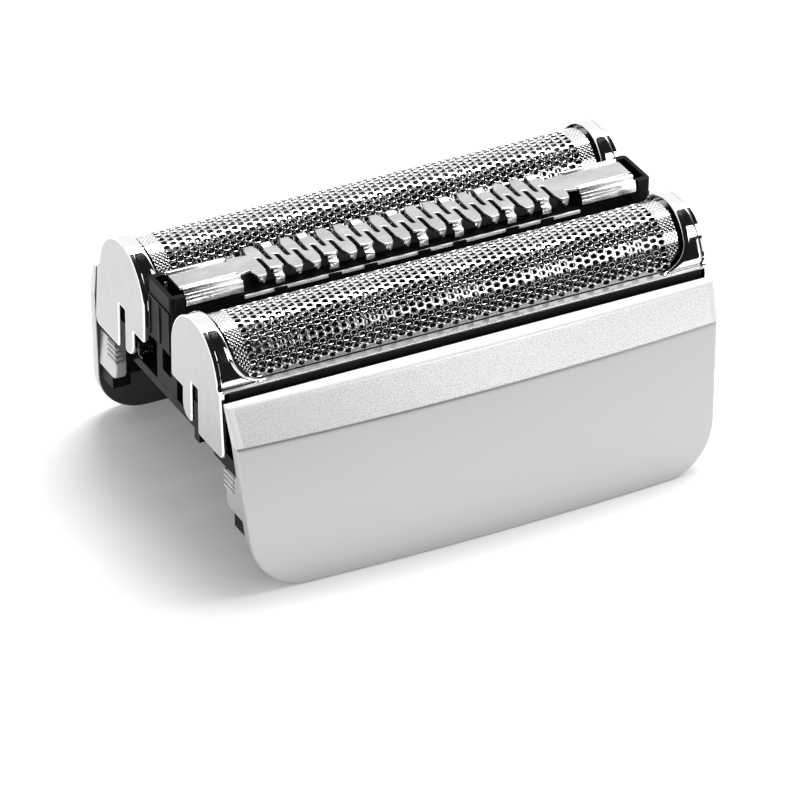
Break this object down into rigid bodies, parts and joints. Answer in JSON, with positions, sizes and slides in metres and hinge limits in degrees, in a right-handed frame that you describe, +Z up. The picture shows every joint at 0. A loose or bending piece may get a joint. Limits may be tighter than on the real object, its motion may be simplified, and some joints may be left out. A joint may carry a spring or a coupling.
{
  "type": "shaver foil head",
  "caption": "Foil-and-cutter cassette of a dry shaver: perforated arched foils in chrome frames, a slotted trimmer between them and silver side panels with grip tabs.",
  "frame": {"origin": "bottom centre, on the plane that the two side panels stand on", "axes": "+X along the foils, -Y towards the front panel, +Z up towards the foils"},
  "size_m": [0.047, 0.0342, 0.0224],
  "materials": {
    "panel_silver": "satin silver lacquer on moulded plastic, the band finely blasted",
    "chrome_trim": "bright plated hoods and satin end faces",
    "black_plastic": "satin black",
    "grey_plastic": "plain moulded grey",
    "foil_nickel": "bright electroformed nickel",
    "blade_steel": "ground edges",
    "comb_steel": "satin flat with polished folds",
    "rail_steel": "polished strip",
    "spring_steel": "plain spring strip"
  },
  "bodies": {
    "housing": {"inner_frame": "black_plastic", "front_panel": "panel_silver", "rear_panel": "panel_silver", "front_foil_springs": "spring_steel", "rear_foil_springs": "spring_steel", "trimmer_springs": "spring_steel"},
    "front_foil_unit": {"front_foil_trim": "chrome_trim", "front_foil_carrier": "black_plastic", "front_foil": "foil_nickel"},
    "front_cutter": {"front_cutter_carrier": "grey_plastic", "front_cutter_blades": "blade_steel"},
    "rear_foil_unit": {"rear_foil_trim": "chrome_trim", "rear_foil_carrier": "black_plastic", "rear_foil": "foil_nickel"},
    "rear_cutter": {"rear_cutter_carrier": "grey_plastic", "rear_cutter_blades": "blade_steel"},
    "trimmer_unit": {"trimmer_carrier": "black_plastic", "trimmer_comb": "comb_steel", "trimmer_rails": "rail_steel"},
    "trimmer_cutter": {"trimmer_shuttle": "grey_plastic", "trimmer_blade": "blade_steel"}
  },
  "joints": [
    {"name": "front_foil_float", "type": "slide", "parent": "housing", "child": "front_foil_unit", "axis": [0, 0, 1], "range_m": [-0.0015, 0], "stiffness_N_per_m": 400, "springref_m": 0.001, "deforming": ["front_foil_springs"]},
    {"name": "front_cutter_stroke", "type": "slide", "parent": "front_foil_unit", "child": "front_cutter", "axis": [1, 0, 0], "range_m": [-0.0012, 0.0012]},
    {"name": "rear_foil_float", "type": "slide", "parent": "housing", "child": "rear_foil_unit", "axis": [0, 0, 1], "range_m": [-0.0015, 0], "stiffness_N_per_m": 400, "springref_m": 0.001, "deforming": ["rear_foil_springs"]},
    {"name": "rear_cutter_stroke", "type": "slide", "parent": "rear_foil_unit", "child": "rear_cutter", "axis": [1, 0, 0], "range_m": [-0.0012, 0.0012]},
    {"name": "trimmer_float", "type": "slide", "parent": "housing", "child": "trimmer_unit", "axis": [0, 0, 1], "range_m": [-0.0015, 0], "stiffness_N_per_m": 400, "springref_m": 0.001, "deforming": ["trimmer_springs"]},
    {"name": "trimmer_stroke", "type": "slide", "parent": "trimmer_unit", "child": "trimmer_cutter", "axis": [1, 0, 0], "range_m": [-0.0008, 0.0008]}
  ]
}
